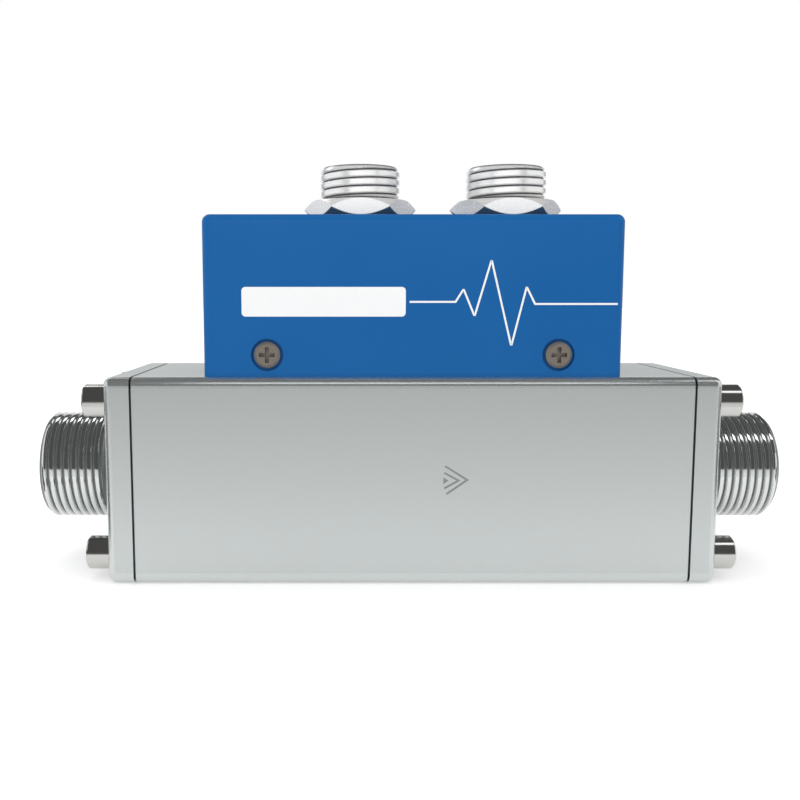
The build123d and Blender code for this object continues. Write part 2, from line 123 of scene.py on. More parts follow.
# %% Node, colour and finish helpers
def linear(card):
    """A hex colour as linear red, green, blue and alpha."""
    shares = [int(card[place:place + 2], 16) / 255 for place in (1, 3, 5)]
    return [(s / 12.92 if s <= 0.04045 else ((s + 0.055) / 1.055) ** 2.4) for s in shares] + [1.0]


def add(tree, kind, inputs=None, **settings):
    """Add one shader node with its settings, and fill its inputs with values or links."""
    made = tree.nodes.new("ShaderNode" + kind)
    for name, value in settings.items():
        setattr(made, name, value)
    for name, value in (inputs or {}).items():
        if isinstance(value, bpy.types.NodeSocket):
            tree.links.new(value, made.inputs[name])
        else:
            made.inputs[name].default_value = value
    return made


def start_finish(name, surface):
    """A material whose shader has these plain values, with the piece's Object coordinates."""
    material = bpy.data.materials.new(name)
    material.use_nodes = True
    tree = material.node_tree
    shader = tree.nodes["Principled BSDF"]
    for socket, value in surface.items():
        shader.inputs[socket].default_value = value
    place = add(tree, "TexCoord").outputs["Object"]
    return material, tree, shader, place


def shade(tree, shader, pattern, dark, light, smooth, rough):
    """Let a pattern from 0 to 1 lead the colour and the roughness between two values each."""
    mix = add(tree, "Mix", {0: pattern, 6: linear(dark), 7: linear(light)}, data_type="RGBA")
    tree.links.new(mix.outputs[2], shader.inputs["Base Color"])
    spread = add(tree, "MapRange", {"Value": pattern, "To Min": smooth, "To Max": rough})
    tree.links.new(spread.outputs["Result"], shader.inputs["Roughness"])


def relief(tree, shader, pattern, depth):
    """Raise the surface by a pattern from 0 to 1, its depth given in millimetres."""
    bump = add(tree, "Bump", {"Height": pattern, "Distance": depth * mm, "Strength": 1.0})
    tree.links.new(bump.outputs["Normal"], shader.inputs["Normal"])


def blend_in(tree, mask, socket, value):
    """Where the mask is 1, give one of the shader's inputs another value in place of what feeds it."""
    fed = socket.links[0].from_socket if socket.is_linked else socket.default_value
    if socket.type == "RGBA":
        mixed = add(tree, "Mix", {0: mask, 6: fed, 7: value}, data_type="RGBA").outputs[2]
    else:
        mixed = add(tree, "Mix", {0: mask, 2: fed, 3: value}).outputs[0]
    tree.links.new(mixed, socket)


def between(tree, value, centre, reach, fade):
    """A mask that is 1 within reach of a centre and falls to 0 over the fade, all in millimetres."""
    offset = add(tree, "Math", {0: value, 1: centre * mm}, operation="SUBTRACT")
    away = add(tree, "Math", {0: offset.outputs[0]}, operation="ABSOLUTE")
    return add(tree, "MapRange", {
        "Value": away.outputs[0], "From Min": reach * mm, "From Max": (reach + fade) * mm,
        "To Min": 1.0, "To Max": 0.0,
    }).outputs["Result"]


finishes = {}

# %% [markdown]
# ## Grained finishes
# Most surfaces here have an even grain and no direction: blasted aluminium, moulded plastic, rubber,
# cast resin. Each is the same idea with other numbers. A noise of the grain's size moves the colour
# between two near values, the roughness with it, and lifts the surface by a few thousandths of a
# millimetre. Real grains of 0.05 to 0.1 mm are finer than a pixel, so they are drawn
# three to five times as coarse, which keeps the broken-up shine that they give.

# %% Grained finishes
def grained(slot, name, dark, light, grain, smooth, rough, depth, surface):
    """An even grain: its width and depth in millimetres, its colours and its roughness."""
    material, tree, shader, place = start_finish(name, surface)
    noise = add(tree, "TexNoise", {"Vector": place, "Scale": 1 / (grain * mm), "Detail": 3.0})
    shade(tree, shader, noise.outputs["Fac"], dark, light, smooth, rough)
    relief(tree, shader, noise.outputs["Fac"], depth)
    finishes[slot] = material
    return tree, shader, place


metal = {"Metallic": 1.0}
plastic = {"IOR": 1.49}
# Stainless screws are cold formed and polished in a barrel, which leaves a clean shine.
grained(
    "screw_steel", "barrel_polished_stainless_steel", "#C0C0BD", "#C6C6C3", 0.8, 0.14, 0.18, 0.0006, metal
)
# The cover screws are blackened with a brown cast and stay dull, so that they look flat and grey.
grained("dark_screw", "blackened_steel", "#7B736B", "#8B837B", 0.4, 0.40, 0.52, 0.003, {"Metallic": 0.5})
# Milled and rolled metals keep a clean shine, broken a little by the grain that the tool leaves.
grained("holder_steel", "milled_stainless_steel", "#ACACA9", "#BDBDBA", 0.3, 0.24, 0.36, 0.003, metal)
grained(
    "straightener_aluminium", "bright_rolled_aluminium", "#BFC1C4", "#CDCFD2", 0.6, 0.25, 0.35, 0.002, metal
)
grained("capacitor_can", "drawn_aluminium", "#B9BCC0", "#CBCED1", 0.8, 0.20, 0.30, 0.002, metal)
# Plastic, resin and rubber are dark and dull, and differ in how matt they are and how coarse.
grained("insert_plastic", "moulded_glass_filled_nylon", "#0F0F10", "#1B1B1D", 0.4, 0.42, 0.58, 0.008, plastic)
grained("chip_plastic", "moulded_epoxy_resin", "#121212", "#1E1E1E", 0.3, 0.50, 0.66, 0.006, plastic)
grained("seal_rubber", "moulded_fluorocarbon_rubber", "#0B0B0B", "#161616", 0.6, 0.48, 0.62, 0.005, plastic)
grained("gasket_rubber", "punched_rubber_sheet", "#161616", "#252525", 0.7, 0.60, 0.78, 0.012, plastic)
# Fired ceramic is warm white with a soft shine. Polished silicon is a dark mirror, and gold a warm one.
grained("ceramic_blade", "fired_alumina", "#DDDBD2", "#EBE9E1", 0.25, 0.34, 0.46, 0.002, {"IOR": 1.76})
grained("silicon_chip", "polished_silicon", "#262A33", "#343A47", 0.9, 0.08, 0.16, 0.0005, {"IOR": 2.0})
grained("contact_gold", "gold_plated_brass", "#DDB25A", "#EBC670", 0.5, 0.12, 0.22, 0.001, metal)
print("grained finishes:", len(finishes))

# %% [markdown]
# ## The anodised block
# The flow body and its end plates are one grey metal. Bead blasting roughens the flats, and the clear
# anodic layer scatters some light above the metal, so they glow softly and only darken where they face
# the dark part of the room. The round edges are cut last and come out brighter and smoother. Where they
# are is worked out from the block's box: on an edge, two of the three coordinates are near their end.
# The narrow seam between plate and body is painted nearly black, as painted shade for the light that doesn't
# reach its bottom.

# %% Anodised block
tree, shader, place = grained(
    "anodised_aluminium", "blasted_anodised_aluminium", "#CACFCE", "#D0D5D4", 0.35, 0.34, 0.40, 0.002,
    {"Metallic": 0.78},
)
edge_reach = (2.4, 3.4, 3.4)
edge_fade = 0.3
edge_metallic = 0.86
edge_roughness = 0.26
inner_half = [half - reach for half, reach in zip((plate_face, -body_front, axis_height), edge_reach)]
centred = add(tree, "VectorMath", {0: place, 1: (0, 0, axis_height * mm)}, operation="SUBTRACT")
mirrored = add(tree, "VectorMath", {0: centred.outputs[0]}, operation="ABSOLUTE")
beyond = add(
    tree, "VectorMath", {0: mirrored.outputs[0], 1: [half * mm for half in inner_half]}, operation="SUBTRACT"
)
sides = add(tree, "SeparateXYZ", {"Vector": beyond.outputs[0]}).outputs
pairs = [
    add(tree, "Math", {0: sides[one], 1: sides[other]}, operation="MINIMUM").outputs[0]
    for one, other in ("XY", "YZ", "XZ")
]
larger = add(tree, "Math", {0: pairs[0], 1: pairs[1]}, operation="MAXIMUM").outputs[0]
larger = add(tree, "Math", {0: larger, 1: pairs[2]}, operation="MAXIMUM").outputs[0]
on_edge = add(tree, "MapRange", {"Value": larger, "From Max": edge_fade * mm}).outputs["Result"]
blend_in(tree, on_edge, shader.inputs["Metallic"], edge_metallic)
blend_in(tree, on_edge, shader.inputs["Roughness"], edge_roughness)
seam_middle = body_end + 0.25
seam_reach = 0.22
seam_fade = 0.06
along = add(tree, "SeparateXYZ", {"Vector": mirrored.outputs[0]}).outputs["X"]
seam_painted_shade = between(tree, along, seam_middle, seam_reach, seam_fade)
# Painted shade: the seam's colour is painted nearly black.
blend_in(tree, seam_painted_shade, shader.inputs["Base Color"], linear("#2C3133"))
print("block finish: edges within", edge_reach, "mm, seam at", round(seam_middle, 2))

# %% [markdown]
# ## Turned metal
# The fittings and the connector shells come off a lathe. The tool leaves fine rings round the axis,
# so the shine is drawn out across them. The rings depend on two lengths only, the distance along the
# axis and the distance from it, and a noise on those two makes rings on the round faces and on the
# flat ends alike. A tool feed of about 0.1 mm is drawn three times as coarse so that it shows.

# %% Turned finishes
def turned(slot, name, centres, along, dark, light, feed, smooth, rough, depth, share):
    """Lathe rings round each centre line. Returns the distances from the nearest line and along it."""
    material, tree, shader, place = start_finish(name, {"Metallic": share})
    split = add(tree, "SeparateXYZ", {"Vector": place})
    across = [split.outputs[side] for side in "XYZ" if side != along]
    reach = None
    for centre in centres:
        offsets = [add(tree, "Math", {0: socket, 1: value * mm}, operation="SUBTRACT").outputs[0]
                   for socket, value in zip(across, centre)]
        flat = add(tree, "CombineXYZ", {"X": offsets[0], "Y": offsets[1]})
        distance = add(tree, "VectorMath", {0: flat.outputs[0]}, operation="LENGTH").outputs["Value"]
        if reach is not None:
            distance = add(tree, "Math", {0: reach, 1: distance}, operation="MINIMUM").outputs[0]
        reach = distance
    rings = add(tree, "CombineXYZ", {"X": split.outputs[along], "Y": reach})
    noise = add(
        tree, "TexNoise", {"Vector": rings.outputs[0], "Scale": 1 / (feed * mm), "Detail": 2.0},
        noise_dimensions="2D",
    )
    shade(tree, shader, noise.outputs["Fac"], dark, light, smooth, rough)
    relief(tree, shader, noise.outputs["Fac"], depth)
    finishes[slot] = material
    return tree, shader, reach, split.outputs[along]


connector_low, connector_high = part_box("left_connector_shell")
left_connector_x = (connector_low.x + connector_high.x) / 2 / mm
connector_low, connector_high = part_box("right_connector_shell")
right_connector_x = (connector_low.x + connector_high.x) / 2 / mm
connector_centres = [(left_connector_x, 0), (right_connector_x, 0)]
# Stainless steel from the lathe, bright: it mirrors the studio, dark above its middle and pale below.
# The thread's valleys are painted darker, less metallic and rougher: painted shade for the dark lines in the
# valleys.
pipe_root = 15.3
pipe_root_reach = 0.25
pipe_root_fade = 0.75
valley_shade_metallic = 0.6
valley_shade_roughness = 0.4
tree, shader, reach, along = turned(
    "turned_steel", "turned_stainless_steel", [(0, axis_height)], "X", "#CDCFCE", "#D9DBDA", 0.3, 0.05, 0.09,
    0.0005, 1.0,
)
# Painted shade: the valleys get a darker, duller colour.
valley_painted_shade = between(tree, reach, pipe_root, pipe_root_reach, pipe_root_fade)
blend_in(tree, valley_painted_shade, shader.inputs["Base Color"], linear("#9CA09F"))
blend_in(tree, valley_painted_shade, shader.inputs["Metallic"], valley_shade_metallic)
blend_in(tree, valley_painted_shade, shader.inputs["Roughness"], valley_shade_roughness)

# Matt nickel on turned brass: a pale plate that scatters most of its light and so stays nearly white.
# Its narrow valleys are painted grey: painted shade, where little light gets in.
shell_root = 11.35
shell_root_reach = 0.1
shell_root_fade = 0.5
tree, shader, reach, along = turned(
    "connector_nickel", "matt_nickel_plated_brass", connector_centres, "Z", "#F6F5F2", "#FBFAF8", 0.3, 0.22,
    0.30, 0.0005, 0.4,
)
# Painted shade: the valleys' colour is painted grey.
valley_painted_shade = between(tree, reach, shell_root, shell_root_reach, shell_root_fade)
blend_in(tree, valley_painted_shade, shader.inputs["Base Color"], linear("#6E7173"))

# The nuts have the same plate. Their lower edge is turned down to a cone that faces the paint, and its colour
# is painted darker and a little blue: painted shade under the nut and a painted reflection of the blue paint.
nut_low, nut_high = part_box("connector_nuts")
nut_half = nut_high.y / mm
nut_cone_height = 2.3
cone_fade = (-0.25, -0.1)
tree, shader, reach, height = turned(
    "connector_nut", "matt_nickel_plated_nut", connector_centres, "Z", "#F6F5F2", "#FBFAF8", 0.3, 0.22,
    0.30, 0.0005, 0.4,
)
nut_corner = nut_half * 2 / math.sqrt(3)
cone_slope = (nut_corner - nut_half) / nut_cone_height
above_foot = add(tree, "Math", {0: height, 1: nut_low.z}, operation="SUBTRACT").outputs[0]
cone_radius = add(
    tree, "Math", {0: above_foot, 1: cone_slope, 2: nut_half * mm}, operation="MULTIPLY_ADD"
).outputs[0]
outside = add(tree, "Math", {0: reach, 1: cone_radius}, operation="SUBTRACT").outputs[0]
cone_shade_and_reflection = add(
    tree, "MapRange", {"Value": outside, "From Min": cone_fade[0] * mm, "From Max": cone_fade[1] * mm}
).outputs["Result"]
# Painted shade and a painted reflection of the blue paint on the nut's cone.
blend_in(tree, cone_shade_and_reflection, shader.inputs["Base Color"], linear("#6A7F88"))
print("turned finishes for", len(connector_centres), "connectors and the fittings")

# %% [markdown]
# ## The blue paint
# The cover is sheet metal with a baked paint. Such paint flows a little before it sets and keeps a
# soft waviness, called orange peel, about 1.5 mm from crest to crest. It is too shallow to see as
# shape and shows only where the shine bends. The binder shines little, so the blue stays deep.

# %% Baked paint
peel_width = 1.5
peel_depth = 0.004
cloud_width = 30
material, tree, shader, place = start_finish("baked_blue_paint", {"IOR": 1.5, "Specular IOR Level": 0.16})
peel = add(tree, "TexNoise", {"Vector": place, "Scale": 1 / (peel_width * mm), "Detail": 1.5})
cloud = add(tree, "TexNoise", {"Vector": place, "Scale": 1 / (cloud_width * mm), "Detail": 2.0})
shade(tree, shader, cloud.outputs["Fac"], "#0A5DA0", "#0E62A6", 0.30, 0.38)
relief(tree, shader, peel.outputs["Fac"], peel_depth)
finishes["blue_paint"] = material

# %% [markdown]
# ## Zinc plate, wire cloth and circuit board
# The bracket's zinc shows a faint crystal pattern, which cells of a few millimetres give. The screens
# are woven wire, drawn as discs, so two crossed waves raise the wires on them. A circuit board is green
# resist over copper tracks: square cells with a different green on their borders read as tracks.

# %% Zinc, wire cloth and board
flake_width = 3
material, tree, shader, place = start_finish("zinc_plated_steel", metal)
flakes = add(tree, "TexVoronoi", {"Vector": place, "Scale": 1 / (flake_width * mm)})
shade(tree, shader, flakes.outputs["Color"], "#AEB1B3", "#C3C6C8", 0.28, 0.40)
relief(tree, shader, flakes.outputs["Distance"], 0.001)
finishes["bracket_zinc"] = material

# The wave texture turns by 20 radians in each unit of length at scale 1.
wave_turn = 20
wire_pitch = 0.5
wire_height = 0.05
wave_scale = 2 * math.pi / (wave_turn * wire_pitch * mm)
material, tree, shader, place = start_finish("woven_steel_wire", metal)
waves = [
    add(tree, "TexWave", {"Vector": place, "Scale": wave_scale}, bands_direction=way).outputs["Fac"]
    for way in "YZ"
]
weave = add(tree, "Math", {0: waves[0], 1: waves[1]}, operation="MAXIMUM")
shade(tree, shader, weave.outputs[0], "#8E8E8C", "#BEBEBC", 0.26, 0.40)
relief(tree, shader, weave.outputs[0], wire_height)
finishes["screen_steel"] = material

track_spacing = 4
track_height = 0.03
track_border = (0.42, 0.46)
material, tree, shader, place = start_finish("solder_resist_on_laminate", {"IOR": 1.5})
tracks = add(
    tree, "TexVoronoi", {"Vector": place, "Scale": 1 / (track_spacing * mm)}, distance="CHEBYCHEV",
    feature="F1",
)
edges = add(tree, "MapRange", {
    "Value": tracks.outputs["Distance"], "From Min": track_border[0], "From Max": track_border[1],
}).outputs["Result"]
shade(tree, shader, edges, "#0E4A25", "#1B6A38", 0.25, 0.35)
relief(tree, shader, edges, track_height)
finishes["circuit_board"] = material
print("finishes in all:", len(finishes))

# %% [markdown]
# ## The CAD pieces get their finishes
# The frame's record says what each piece is made of. The nuts share the shells' metal but have their own
# finish, with painted shade and a painted blue reflection on the cone. Only the material of a CAD piece is
# set and its mesh stays as it is.

# %% Dress the CAD nodes
slot_of = {part["node"]: part["material_slot"] for part in frame["record"]["subparts"]}
finish_of = {**slot_of, "connector_nuts": "connector_nut"}
for name, node in frame["nodes"].items():
    node.data.materials.clear()
    node.data.materials.append(finishes[finish_of[name]])
print("dressed", len(finish_of), "nodes in", len(set(finish_of.values())), "finishes")

# %% [markdown]
# ## From a bmesh to a piece
# Each new piece is drawn in millimetres in a bmesh. This helper merges doubled points, turns the faces
# outwards, scales the mesh to metres, shades it smooth with sharp edges kept where faces meet at an
# angle, and hangs it on the meter's one body.

# %% Piece helper
# A thread's turns meet to within rounding errors of a few micrometres, which this closes.
weld = 0.003
sharp_angle = math.radians(32)


def finish_piece(name, bm, finish, stands_for=()):
    """Make a bmesh drawn in millimetres a piece of the meter."""
    bmesh.ops.remove_doubles(bm, verts=bm.verts, dist=weld)
    bmesh.ops.recalc_face_normals(bm, faces=bm.faces)
    bmesh.ops.scale(bm, vec=(mm, mm, mm), verts=bm.verts)
    mesh = bpy.data.meshes.new(name)
    open_edges = sum(1 for edge in bm.edges if not edge.is_manifold)
    bm.to_mesh(mesh)
    bm.free()
    mesh.shade_smooth()
    mesh.set_sharp_from_angle(angle=sharp_angle)
    mesh.materials.append(finish)
    piece = bpy.data.objects.new(name, mesh)
    scene.collection.objects.link(piece)
    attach(piece, "root")
    if stands_for:
        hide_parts(*stands_for)
    sides = [round(side / mm, 2) for side in piece.dimensions]
    print(name, "faces", len(mesh.polygons), "open edges", open_edges, "sides in mm", sides)


# %% [markdown]
# ## True threads
# A thread is one tooth carried round the axis and forwards by one pitch in each turn. The spin operator
# does just that: it turns a chain of edges in small steps and its dvec moves it along a little at each
# step. The tooth is exactly one pitch long, so each turn's end meets the next turn's start and merging
# doubles closes the seam. At both ends the teeth are pressed under a cone of 45 degrees, which is the
# chamfer that a lathe cuts, and whatever lies past the end gathers on one clean ring, ready to join the
# plain part.

# %% Thread helper
ring_steps = 128


def cut_thread(bm, tooth, pitch, crest, depth, first, last, end_radii, valley):
    """Sweep half a tooth, given as shares of pitch and depth, and its mirror between two heights."""
    outline = tooth + [(1 - share, rise) for share, rise in reversed(tooth[:-1])]
    base = valley - pitch * math.ceil((valley - first) / pitch + 1)
    turns = math.ceil((last - base) / pitch) + 1
    chain = [
        bm.verts.new((crest - depth + rise * depth, 0, base + share * pitch)) for share, rise in outline
    ]
    edges = [bm.edges.new(pair) for pair in zip(chain, chain[1:])]
    bmesh.ops.spin(
        bm, geom=chain + edges, cent=(0, 0, 0), axis=(0, 0, 1), dvec=(0, 0, pitch / ring_steps),
        angle=turns * 2 * math.pi, steps=turns * ring_steps, use_merge=False,
    )
    for vertex in bm.verts:
        height = min(max(vertex.co.z, first), last)
        radius = vertex.co.xy.length
        allowed = min(end_radii[0] + height - first, end_radii[1] + last - height)
        if height != vertex.co.z:
            radius = allowed
        vertex.co.xy *= min(radius, allowed) / vertex.co.xy.length
        vertex.co.z = height
    bmesh.ops.remove_doubles(bm, verts=bm.verts, dist=weld)


def spin_profile(bm, profile):
    """Turn a chain of (height, radius) points once round Z, in the thread's own steps."""
    chain = [bm.verts.new((radius, 0, height)) for height, radius in profile]
    edges = [bm.edges.new(pair) for pair in zip(chain, chain[1:])]
    bmesh.ops.spin(
        bm, geom=chain + edges, cent=(0, 0, 0), axis=(0, 0, 1), angle=2 * math.pi,
        steps=ring_steps, use_merge=True,
    )


# %% [markdown]
# ## The pipe fittings
# Each end has a male pipe thread of one inch nominal size: 33.24 mm outside and 2.309 mm pitch. Its
# teeth are 1.3 mm deep, a little shallower than the nominal 1.48 mm, with broad blunt crests and narrow
# valleys. Inside the end plate a flange holds the fitting, and a short plain neck joins it to the
# thread. The fitting is drawn standing on Z and then laid along X, which keeps the thread right-handed
# at both ends.

# %% Pipe fittings
pipe_pitch = 2.309
pipe_depth = 1.3
pipe_crest = 16.62
pipe_tooth = [(0.0, 0.0), (0.06, 0.02), (0.10, 0.10), (0.23, 0.90), (0.27, 0.98), (0.32, 1.0), (0.5, 1.0)]
pipe_valley = 97.15
neck_radius = 14.8
shoulder_radius = 16.62
shoulder_break = 0.3
flange_radius = 21.0
flange_face = body_end + 4.0
bore_radius = 12.5
mouth_break = 0.6
thread_foot = plate_face + 3.2
tip_radius = 15.1
fitting_profile = [
    (thread_foot, neck_radius), (plate_face, neck_radius), (plate_face, shoulder_radius - shoulder_break),
    (plate_face - shoulder_break, shoulder_radius), (flange_face, shoulder_radius),
    (flange_face, flange_radius), (body_end, flange_radius), (body_end, bore_radius),
    (fitting_tip - mouth_break, bore_radius), (fitting_tip, bore_radius + mouth_break),
    (fitting_tip, tip_radius),
]
for name, side in (("inlet", -1), ("outlet", 1)):
    bm = bmesh.new()
    cut_thread(
        bm, pipe_tooth, pipe_pitch, pipe_crest, pipe_depth, thread_foot, fitting_tip,
        (neck_radius, tip_radius), pipe_valley,
    )
    spin_profile(bm, fitting_profile)
    laid_down = Matrix.Rotation(side * math.pi / 2, 3, "Y")
    bmesh.ops.rotate(bm, verts=bm.verts, cent=(0, 0, 0), matrix=laid_down)
    bmesh.ops.translate(bm, verts=bm.verts, vec=(0, 0, axis_height))
    finish_piece(
        name + "_threaded_fitting", bm, finishes["turned_steel"], [name + "_fitting"]
    )

# %% [markdown]
# ## The connector shells
# A connector shell is a turned cup with a coarse round thread outside: narrow valleys and broad flat
# crests, 2.4 mm apart. A flange holds it from inside the cover and a nut from above, and a key rib in
# the cup lets the plug in only one way round.

# %% Connector shells
shell_pitch = 2.4
shell_depth = 0.95
shell_crest = 12.25
shell_tooth = [(0.0, 0.0), (0.03, 0.05), (0.20, 0.94), (0.23, 1.0), (0.5, 1.0)]
shell_valley = 7.9
seat_radius = 12.0
relief_radius = 11.3
relief_width = 0.4
cup_radius = 10.3
rim_break = 0.4
shell_reach = 16.0
shell_foot = 6.2
seat_top = shell_foot - relief_width
inner_flange_radius = 14.5
inner_flange_top = -2.0
inner_flange_foot = -4.5
shell_bottom = -8.0
shell_profile = [
    (shell_foot, relief_radius), (seat_top, relief_radius), (seat_top, seat_radius),
    (inner_flange_top, seat_radius), (inner_flange_top, inner_flange_radius),
    (inner_flange_foot, inner_flange_radius), (inner_flange_foot, seat_radius), (shell_bottom, seat_radius),
    (shell_bottom, cup_radius), (shell_reach - rim_break, cup_radius), (shell_reach, cup_radius + rim_break),
    (shell_reach, relief_radius),
]
rib_foot = shell_reach - 9.0
rib_top = shell_reach - 0.6
rib_width = 2.4
rib_depth = 2.0
rib_inset = 0.2
for name, x in (("left", left_connector_x), ("right", right_connector_x)):
    bm = bmesh.new()
    cut_thread(
        bm, shell_tooth, shell_pitch, shell_crest, shell_depth, shell_foot, shell_reach,
        (relief_radius, relief_radius), shell_valley,
    )
    spin_profile(bm, shell_profile)
    rib = bmesh.ops.create_cube(bm, size=1.0)["verts"]
    bmesh.ops.scale(bm, verts=rib, vec=(rib_width, rib_depth, rib_top - rib_foot))
    bmesh.ops.translate(bm, verts=rib, vec=(0, cup_radius - rib_inset, (rib_top + rib_foot) / 2))
    bmesh.ops.translate(bm, verts=bm.verts, vec=(x, 0, cover_top))
    finish_piece(
        name + "_threaded_shell", bm, finishes["connector_nickel"],
        [name + "_connector_shell"],
    )

# %% [markdown]
# ## The white print
# The print on the cover is a layer of screen ink about 0.03 mm thick: a plain rounded field and a line
# that runs level, jumps like a pulse and runs on. The ink is its own thin piece, because a real layer
# catches the light at its edge and stays crisp from close by. The line's corners are mitred: at each
# bend the two sides meet on the line that halves the angle. Each sharp peak is a short level stretch,
# which keeps the mitre from running out to a long point.

# %% Screen ink
material, tree, shader, place = start_finish("white_screen_ink", {"IOR": 1.48})
grain = add(tree, "TexNoise", {"Vector": place, "Scale": 1 / (0.5 * mm), "Detail": 2.0})
shade(tree, shader, grain.outputs["Fac"], "#F4F5F6", "#FBFCFC", 0.45, 0.6)
relief(tree, shader, grain.outputs["Fac"], 0.003)
white_ink = material

ink_back = cover_front + 0.02
ink_front = cover_front - 0.03


def print_on_cover(name, bm):
    """Give flat faces drawn at the ink's front their thickness, and make them a piece."""
    lifted = bmesh.ops.extrude_face_region(bm, geom=bm.faces[:])["geom"]
    moved = [part for part in lifted if isinstance(part, bmesh.types.BMVert)]
    bmesh.ops.translate(bm, verts=moved, vec=(0, ink_back - ink_front, 0))
    finish_piece(name, bm, white_ink)


field_corners = ((-49.2, 78.4), (-2.15, 86.85))
field_corner_radius = 1.1
bm = bmesh.new()
(left, bottom), (right, top) = field_corners
round_the_field = ((left, bottom), (right, bottom), (right, top), (left, top))
ring = [bm.verts.new((x, ink_front, z)) for x, z in round_the_field]
bm.faces.new(ring)
bmesh.ops.bevel(
    bm, geom=ring, offset=field_corner_radius, offset_type="OFFSET", affect="VERTICES", segments=6,
    profile=0.5, material=-1,
)
print_on_cover("printed_field", bm)


def mitre_sides(line, width):
    """For each point of a drawn line, the step from its middle to its edge, mitred at the bends."""
    sides = []
    for number, point in enumerate(line):
        before = (point - line[number - 1]).normalized() if number else (line[1] - point).normalized()
        after = (line[number + 1] - point).normalized() if number + 1 < len(line) else before
        halfway = (before + after).normalized()
        sides.append(Vector((-halfway.y, halfway.x)) * width / 2 / halfway.dot(before))
    return sides


pulse_width = 0.55
peak_width = 0.24
pulse = [(-1.05, 82.6), (12.1, 82.6), (14.35, 86.0), (17.6, 78.85), (22.25, 94.1), (28.3, 70.4)]
pulse += [(32.45, 86.6), (34.9, 82.0), (58.6, 82.0)]
line = [Vector(pulse[0]), Vector(pulse[1])]
for x, z in pulse[2:-2]:
    line += [Vector((x - peak_width / 2, z)), Vector((x + peak_width / 2, z))]
line += [Vector(pulse[-2]), Vector(pulse[-1])]
mitres = mitre_sides(line, pulse_width)
bm = bmesh.new()
upper = [
    bm.verts.new((point.x + side.x, ink_front, point.y + side.y)) for point, side in zip(line, mitres)
]
edges = [bm.edges.new(pair) for pair in zip(upper, upper[1:])]
ribbon = bmesh.ops.extrude_edge_only(bm, edges=edges)["geom"]
lower = [part for part in ribbon if isinstance(part, bmesh.types.BMVert)]
for vertex in lower:
    number = min(range(len(upper)), key=lambda place: (upper[place].co - vertex.co).length)
    vertex.co -= 2 * Vector((mitres[number].x, 0, mitres[number].y))
print_on_cover("printed_pulse", bm)

# %% [markdown]
# ## The engraved arrow
# A double arrowhead and a small triangle are cut into the front of the flow body and point the way of
# the gas. An engraving cutter leaves a V groove, so each mark is a real groove: a prism with a V
# section follows the mark and is subtracted from a copy of the body. The faces that it leaves take the
# cutter's own finish, bare and a little darker than the anodised front, as the real cut goes through
# the anodic layer. The copy's corners get weighted normals, which keep its large flats flat.

# %% Engraved arrow
grained(
    "cut_aluminium", "engraved_bare_aluminium", "#8F9493", "#A2A7A6", 0.3, 0.34, 0.44, 0.002,
    {"Metallic": 0.6},
)
groove_width = 0.75
groove_depth = 0.32
groove_lift = 0.08
arrow_marks = [
    [(9.45, 35.25), (15.9, 31.2), (9.9, 27.0)],
    [(9.2, 33.3), (13.4, 31.0), (9.25, 28.7)],
]
triangle_mark = [(9.0, 32.0), (9.0, 30.0), (10.5, 31.0)]


def v_groove(bm, line):
    """A closed prism with a V section along a drawn line, its open side just in front of the body."""
    rings = []
    for point, side in zip(line, mitre_sides(line, groove_width)):
        places = [(point + side, body_front - groove_lift), (point, body_front + groove_depth)]
        places.append((point - side, body_front - groove_lift))
        ring = [bm.verts.new((across.x, y, across.y)) for across, y in places]
        rings.append([bm.edges.new(pair) for pair in zip(ring, ring[1:] + ring[:1])])
    for before, after in zip(rings, rings[1:]):
        bmesh.ops.bridge_loops(bm, edges=before + after)
    bmesh.ops.holes_fill(bm, edges=rings[0] + rings[-1], sides=3)


def loose_object(name, bm, finish):
    """A bmesh as a plain object that isn't a piece yet."""
    bmesh.ops.recalc_face_normals(bm, faces=bm.faces)
    mesh = bpy.data.meshes.new(name)
    bm.to_mesh(mesh)
    bm.free()
    mesh.materials.append(finish)
    made = bpy.data.objects.new(name, mesh)
    scene.collection.objects.link(made)
    return made


bm = bmesh.new()
for mark in arrow_marks:
    v_groove(bm, [Vector(point) for point in mark])
corners = [bm.verts.new((x, body_front - groove_lift, z)) for x, z in triangle_mark]
floor_face = bm.faces.new(corners)
pushed = bmesh.ops.extrude_face_region(bm, geom=[floor_face])["geom"]
bmesh.ops.translate(
    bm, verts=[part for part in pushed if isinstance(part, bmesh.types.BMVert)],
    vec=(0, groove_lift + groove_depth / 2, 0),
)
bmesh.ops.scale(bm, vec=(mm, mm, mm), verts=bm.verts)
cutter = loose_object("arrow_cutter", bm, finishes["cut_aluminium"])

bm = bmesh.new()
bm.from_mesh(frame["nodes"]["flow_body"].data)
frame_weld = 0.000001
flat_angle = 0.0005
bmesh.ops.remove_doubles(bm, verts=bm.verts, dist=frame_weld)
bmesh.ops.dissolve_limit(bm, angle_limit=flat_angle, verts=bm.verts, edges=bm.edges)
print("body copy: faces", len(bm.faces), "open edges", sum(1 for edge in bm.edges if not edge.is_manifold))
body = loose_object("engraved_flow_body", bm, finishes["anodised_aluminium"])
cut = body.modifiers.new("arrow", "BOOLEAN")
cut.operation = "DIFFERENCE"
cut.solver = "EXACT"
cut.material_mode = "TRANSFER"
cut.object = cutter
carved = bpy.data.meshes.new_from_object(body.evaluated_get(bpy.context.evaluated_depsgraph_get()))
body.modifiers.clear()
body.data = carved
bpy.data.objects.remove(cutter)
carved.shade_smooth()
carved.set_sharp_from_angle(angle=sharp_angle)
even = body.modifiers.new("flat_faces", "WEIGHTED_NORMAL")
even.keep_sharp = True
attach(body, "root")
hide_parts("flow_body")
cut_faces = sum(1 for face in carved.polygons if face.material_index == 1)
print("engraved body: faces", len(carved.polygons), "cut faces", cut_faces, "finishes", len(carved.materials))

